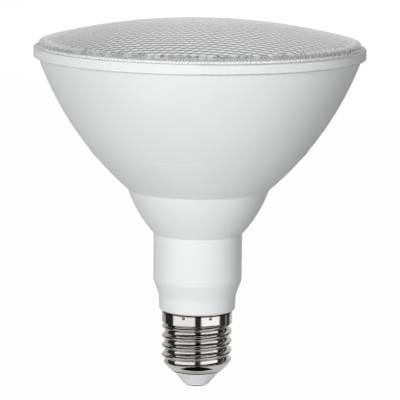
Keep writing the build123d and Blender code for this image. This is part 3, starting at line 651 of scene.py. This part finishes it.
# %% Banded enamel
HALF_ROD = 3.75 * MM
enamel, tree, shader = new_finish("flameproof_enamel", IOR=1.5)
place = add_node(tree, "TexCoord").outputs["Object"]
axes = add_node(tree, "SeparateXYZ", {0: place})
along_rod = add_node(tree, "MapRange", {0: axes.outputs["X"], 1: -HALF_ROD, 2: HALF_ROD})
bands = ((0.0, "7F9DB4"), (0.14, "5A3319"), (0.22, "7F9DB4"), (0.34, "161616"), (0.42, "7F9DB4"),
         (0.54, "161616"), (0.62, "7F9DB4"), (0.8, "B4923C"), (0.88, "7F9DB4"))
rings = add_node(tree, "ValToRGB", {0: along_rod.outputs[0]},
                 stops=[(start, linear(colour)) for start, colour in bands])
rings.color_ramp.interpolation = "CONSTANT"
reach = add_node(tree, "Math", {0: axes.outputs["X"]}, operation="ABSOLUTE")
bare = add_node(tree, "Math", {0: reach.outputs[0], 1: HALF_ROD + 0.02 * MM}, operation="GREATER_THAN")
tone = add_node(tree, "Mix", {0: bare.outputs[0], 6: rings.outputs[0], 7: linear("C6C7C8")}, data_type="RGBA")
dip = add_node(tree, "TexNoise", {"Vector": place, "Scale": 1 / (0.8 * MM), "Detail": 2.0})
gloss = add_node(tree, "MapRange", {0: dip.outputs[0], 3: 0.15, 4: 0.35})
tree.links.new(tone.outputs[2], shader.inputs["Base Color"])
tree.links.new(bare.outputs[0], shader.inputs["Metallic"])
tree.links.new(gloss.outputs[0], shader.inputs["Roughness"])
dress(enamel, "fuse_resistor")

# %% [markdown]
# What is left are four small mouldings and castings that differ in colour, gloss and grain size: dipped
# epoxy on the film capacitor, ground ferrite, black moulded epoxy on the chips and bobbin, and polyester
# tape over the winding. The tape gets lines where one turn overlaps the next.

# %% Epoxy, ferrite and black moulding
for name, dark, light, grain_size, rough, nodes in (
        ("dipped_epoxy", "7A1E12", "8F2A1A", 1.2, (0.12, 0.25), ("film_capacitor",)),
        ("ground_ferrite", "26272A", "3A3B3E", 0.25, (0.45, 0.65), ("transformer_core",)),
        ("black_moulded_epoxy", "18181A", "242427", 0.2, (0.45, 0.6),
         ("transformer_bobbin", "bridge_rectifier", "driver_chip"))):
    cast, tree, shader = new_finish(name, IOR=1.55)
    place = add_node(tree, "TexCoord").outputs["Object"]
    speck = add_node(tree, "TexNoise", {"Vector": place, "Scale": 1 / (grain_size * MM), "Detail": 3.0})
    tone = add_node(tree, "Mix", {0: speck.outputs[0], 6: linear(dark), 7: linear(light)}, data_type="RGBA")
    gloss = add_node(tree, "MapRange", {0: speck.outputs[0], 3: rough[0], 4: rough[1]})
    relief = add_node(tree, "Bump", {"Height": speck.outputs[0], "Strength": 0.15, "Distance": 0.03 * MM})
    tree.links.new(tone.outputs[2], shader.inputs["Base Color"])
    tree.links.new(gloss.outputs[0], shader.inputs["Roughness"])
    tree.links.new(relief.outputs["Normal"], shader.inputs["Normal"])
    dress(cast, *nodes)

# %% Winding tape
TAPE_LAP = 1.1 * MM
tape, tree, shader = new_finish("polyester_winding_tape", IOR=1.6)
place = add_node(tree, "TexCoord").outputs["Object"]
laps = add_node(tree, "TexWave", {"Vector": place, "Scale": WAVE_STEP / TAPE_LAP, "Distortion": 0.4,
                                  "Detail": 1.0},
                wave_type="BANDS", bands_direction="Z", wave_profile="SAW")
tone = add_node(tree, "Mix", {0: laps.outputs[1], 6: linear("D2A71E"), 7: linear("E6C03C")}, data_type="RGBA")
relief = add_node(tree, "Bump", {"Height": laps.outputs[1], "Strength": 0.25, "Distance": 0.05 * MM})
gloss = add_node(tree, "MapRange", {0: laps.outputs[1], 3: 0.18, 4: 0.3})
tree.links.new(tone.outputs[2], shader.inputs["Base Color"])
tree.links.new(relief.outputs["Normal"], shader.inputs["Normal"])
tree.links.new(gloss.outputs[0], shader.inputs["Roughness"])
dress(tape, "transformer_winding")

# %% [markdown]
# ## The studio
# The photograph was lit by a large soft box at the left of the camera and a weaker one at the right, in a
# pale room that is darker at the right. Area lamps and a dim world do that. Lamps light the plastic well
# but would show in the nickel as bare squares, so they are hidden from reflections, and the world draws
# what a mirror sees: a bright panel on each side of the camera, dark gaps beside and between them, dark
# above. One ramp goes round the lamp by degrees, 0 being towards the camera, and one goes up from straight
# down to straight up.

# %% Panels that the nickel mirrors
studio = bpy.data.worlds.new("studio")
scene.world = studio
studio.use_nodes = True
tree = studio.node_tree
direction = add_node(tree, "TexCoord").outputs["Generated"]
axes = add_node(tree, "SeparateXYZ", {0: direction})
front = add_node(tree, "Math", {0: axes.outputs["Y"], 1: -1.0}, operation="MULTIPLY")
bearing = add_node(tree, "Math", {0: axes.outputs["X"], 1: front.outputs[0]}, operation="ARCTAN2")
around = add_node(tree, "MapRange", {0: bearing.outputs[0], 1: -math.pi, 2: math.pi})
by_degrees = (
    (-180, 0.8), (-150, 0.5), (-128, 0.42), (-123, 0.03), (-86, 0.03), (-82, 1.12), (-9, 1.12), (-4, 0.03),
    (12, 0.03), (17, 1.3), (77, 1.3), (81, 0.03), (104, 0.03), (108, 0.25), (112, 0.25), (116, 0.05),
    (130, 0.05), (135, 0.5), (160, 0.7), (180, 0.8))
panels = add_node(tree, "ValToRGB", {0: around.outputs[0]},
                  stops=[((degrees + 180) / 360, (level, level, level, 1.0)) for degrees, level in by_degrees])
upright = add_node(tree, "MapRange", {0: axes.outputs["Z"], 1: -1.0, 2: 1.0})
by_rise = (
    (-1.0, 0.2), (-0.8, 0.2), (-0.7, 0.7), (-0.6, 0.7), (-0.52, 0.06), (-0.38, 0.06), (-0.3, 1.0),
    (-0.06, 1.0), (0.03, 0.03), (0.9, 0.03), (1.0, 0.4))
heights = add_node(tree, "ValToRGB", {0: upright.outputs[0]},
                   stops=[((rise + 1) / 2, (level, level, level, 1.0)) for rise, level in by_rise])
facing = add_node(tree, "MapRange", {0: axes.outputs["Y"], 1: -0.1, 2: 0.1, 3: 1.0, 4: 0.0})
tall = add_node(tree, "Mix", {0: facing.outputs[0], 6: (1, 1, 1, 1), 7: heights.outputs[0]}, data_type="RGBA")
mirrored = add_node(tree, "Mix", {0: 1.0, 6: panels.outputs[0], 7: tall.outputs[2]},
                    data_type="RGBA", blend_type="MULTIPLY")
print("the nickel mirrors panels with", len(tree.nodes), "world nodes")

# %% [markdown]
# The same world has two more jobs. To the camera, and through the lens, it is plain white, as in the
# photograph. To the plastic it is a dim room that fades from left to right. Light Path tells the three
# apart.

# %% White for the camera, dim for the plastic
path = add_node(tree, "LightPath")
room = add_node(tree, "MapRange", {0: axes.outputs["X"], 1: -1.0, 2: 1.0, 3: 0.38, 4: 0.04})
seen = add_node(tree, "Mix", {0: path.outputs["Is Glossy Ray"], 6: room.outputs[0], 7: mirrored.outputs[2]},
                data_type="RGBA")
plain = add_node(tree, "Math", {0: path.outputs["Is Camera Ray"], 1: path.outputs["Is Transmission Ray"]},
                 operation="MAXIMUM")
light = add_node(tree, "Mix", {0: plain.outputs[0], 6: seen.outputs[2], 7: (1, 1, 1, 1)}, data_type="RGBA")
tree.links.new(light.outputs[2], tree.nodes["Background"].inputs["Color"])
print("the whole world has", len(tree.nodes), "nodes")

# %% [markdown]
# The floor is a plain pale sheet. The photograph's floor is pure white, so the camera sees mostly a white
# glow, with a share of the true, lit floor in it that keeps the lamp's shadow. In the nickel the floor
# counts only in a ring round the tip: it glows there, except in the shadow under the shell's lip. Inside
# that ring and outside it, reflections pass through to the world. The underside is clear, so that the
# contact can be looked at from below.

# %% Floor
LIP_SHADOW = (9.2 * MM, 9.9 * MM)  # where the shadow begins to fade and where it has gone
RING_MIDDLE, RING_HALF = 15 * MM, 11 * MM  # the part of the floor that mirrors see
CAMERA_GLOW, MIRROR_GLOW = 0.93, 0.4
floor_finish, tree, shader = new_finish("pale_floor", Base_Color=linear("E6E6E6"), Roughness=0.9)
path = add_node(tree, "LightPath")
place = add_node(tree, "TexCoord").outputs["Object"]
reach = add_node(tree, "VectorMath", {0: place}, operation="LENGTH").outputs["Value"]
mirror_share = add_node(tree, "MapRange", {0: reach, 1: LIP_SHADOW[0], 2: LIP_SHADOW[1], 3: 0.0,
                                           4: MIRROR_GLOW})
seen_share = add_node(tree, "Math", {0: path.outputs["Is Camera Ray"], 1: CAMERA_GLOW}, operation="MULTIPLY")
share = add_node(tree, "Mix", {0: path.outputs["Is Glossy Ray"], 2: seen_share.outputs[0],
                               3: mirror_share.outputs[0]})
glow = add_node(tree, "Emission", {"Color": (1, 1, 1, 1), "Strength": 1.03})
lit = add_node(tree, "MixShader", {0: share.outputs[0], 1: shader.outputs[0], 2: glow.outputs[0]})
in_ring = add_node(tree, "Math", {0: reach, 1: RING_MIDDLE, 2: RING_HALF}, operation="COMPARE")
missed = add_node(tree, "Mix", {0: in_ring.outputs[0], 2: path.outputs["Is Glossy Ray"], 3: 0.0})
below = add_node(tree, "NewGeometry").outputs["Backfacing"]
passed = add_node(tree, "Math", {0: missed.outputs[0], 1: below}, operation="MAXIMUM")
through = add_node(tree, "BsdfTransparent")
surface = add_node(tree, "MixShader", {0: passed.outputs[0], 1: lit.outputs[0], 2: through.outputs[0]})
tree.links.new(surface.outputs[0], tree.nodes["Material Output"].inputs["Surface"])


def stage_sheet(name, corner, far_corner, height, finish, segments=4):
    """A flat level sheet between two corners that belongs to the studio and not to the lamp."""
    form = bmesh.new()
    bmesh.ops.create_grid(form, x_segments=segments, y_segments=segments, size=0.5)
    middle = (Vector(corner) + Vector(far_corner)) / 2
    span = Vector(far_corner) - Vector(corner)
    bmesh.ops.scale(form, vec=(span.x, span.y, 1), verts=form.verts[:])
    bmesh.ops.translate(form, vec=(middle.x, middle.y, height), verts=form.verts[:])
    mesh = bpy.data.meshes.new(name)
    form.to_mesh(mesh)
    form.free()
    mesh.materials.append(finish)
    sheet = bpy.data.objects.new(name, mesh)
    scene.collection.objects.link(sheet)
    return sheet


floor = stage_sheet("floor", (-3, -3), (3, 3), -0.1 * MM, floor_finish)
print("floor side:", round(floor.dimensions.x, 2), "m")

# %% [markdown]
# The rounded end of the shell looks down at the floor and mirrors the shadow under the lamp as a black
# crescent. A small black card on the floor, seen by mirrors alone, is a painted shadow that deepens it. It is
# bent round the cap and pointed at both ends, because the round shell would bend a straight card into a smile.

# %% Dark card under the cap: painted shadow seen in the nickel
CARD_REACH = math.radians(52)
CARD_INNER = (10.6 * MM, 1.7 * MM)  # radius in the middle, change at the ends
CARD_OUTER = (15.8 * MM, -3.5 * MM)  # in the same order
card_black, tree, shader = new_finish("black_card", Base_Color=linear("050505"), Roughness=0.9)
card = stage_sheet("painted_shadow_card", (-0.5, 0), (0.5, 1), 0.3 * MM, card_black, segments=16)
for vert in card.data.vertices:
    along, out = 2 * vert.co.x, vert.co.y
    inner, outer = (middle + change * along ** 2 for middle, change in (CARD_INNER, CARD_OUTER))
    radius = inner + (outer - inner) * out
    vert.co.x = radius * math.sin(along * CARD_REACH)
    vert.co.y = -radius * math.cos(along * CARD_REACH)
card.visible_camera = False
card.visible_diffuse = False
card.visible_transmission = False
card.visible_shadow = False
print("card width:", round(card.dimensions.x / MM, 1), "mm")

# %% [markdown]
# A white object on white loses its edge. Photographers give it back with a black flag, a dark card just out
# of the picture that keeps light off one side. This one stands upright at the right. It only blocks light:
# neither the camera nor the mirrors nor the lens see it.

# %% Black flag at the right
FLAG_SIDE, FLAG_HEIGHT = 0.14, 0.1
flag = stage_sheet("black_flag", (-0.1, -0.05), (0.1, 0.2), 0, card_black)
for vert in flag.data.vertices:
    vert.co = (FLAG_SIDE, vert.co.y, FLAG_HEIGHT + vert.co.x)
flag.visible_camera = False
flag.visible_glossy = False
flag.visible_transmission = False
print("flag height:", round(flag.dimensions.z, 2), "m")

# %% [markdown]
# Three soft boxes light the plastic: the key at the left of the camera, a weaker fill at the right, and one
# behind the lamp, so that a view from the back isn't grey. They hide from mirrors, which see the world's
# panels, and from rays in the lens, whose lenslets would break them up into white sparks.

# %% Soft boxes
BOX_SIDE = 0.8
BOX_AIM = Vector((0, 0, 0.08))


def soft_box(name, place, watts):
    """A square area lamp, turned to the lamp's body, that mirrors and the lens do not see."""
    lamp = bpy.data.lights.new(name, "AREA")
    lamp.size = BOX_SIDE
    lamp.energy = watts
    holder = bpy.data.objects.new(name, lamp)
    scene.collection.objects.link(holder)
    holder.location = place
    holder.rotation_euler = (BOX_AIM - Vector(place)).to_track_quat("-Z", "Y").to_euler()
    holder.visible_glossy = False
    holder.visible_transmission = False
    print(name, watts, "W at", round(Vector(place).length, 2), "m")


soft_box("key_left", (-0.62, -1.70, 0.48), 19.3)
soft_box("fill_right", (1.1, -1.52, 0.4), 8.0)
soft_box("back_light", (0.6, 1.7, 0.35), 21.0)

# %% [markdown]
# ## The view transform
# The render uses the Standard view transform.

# %% View transform
scene.view_settings.view_transform = "Standard"
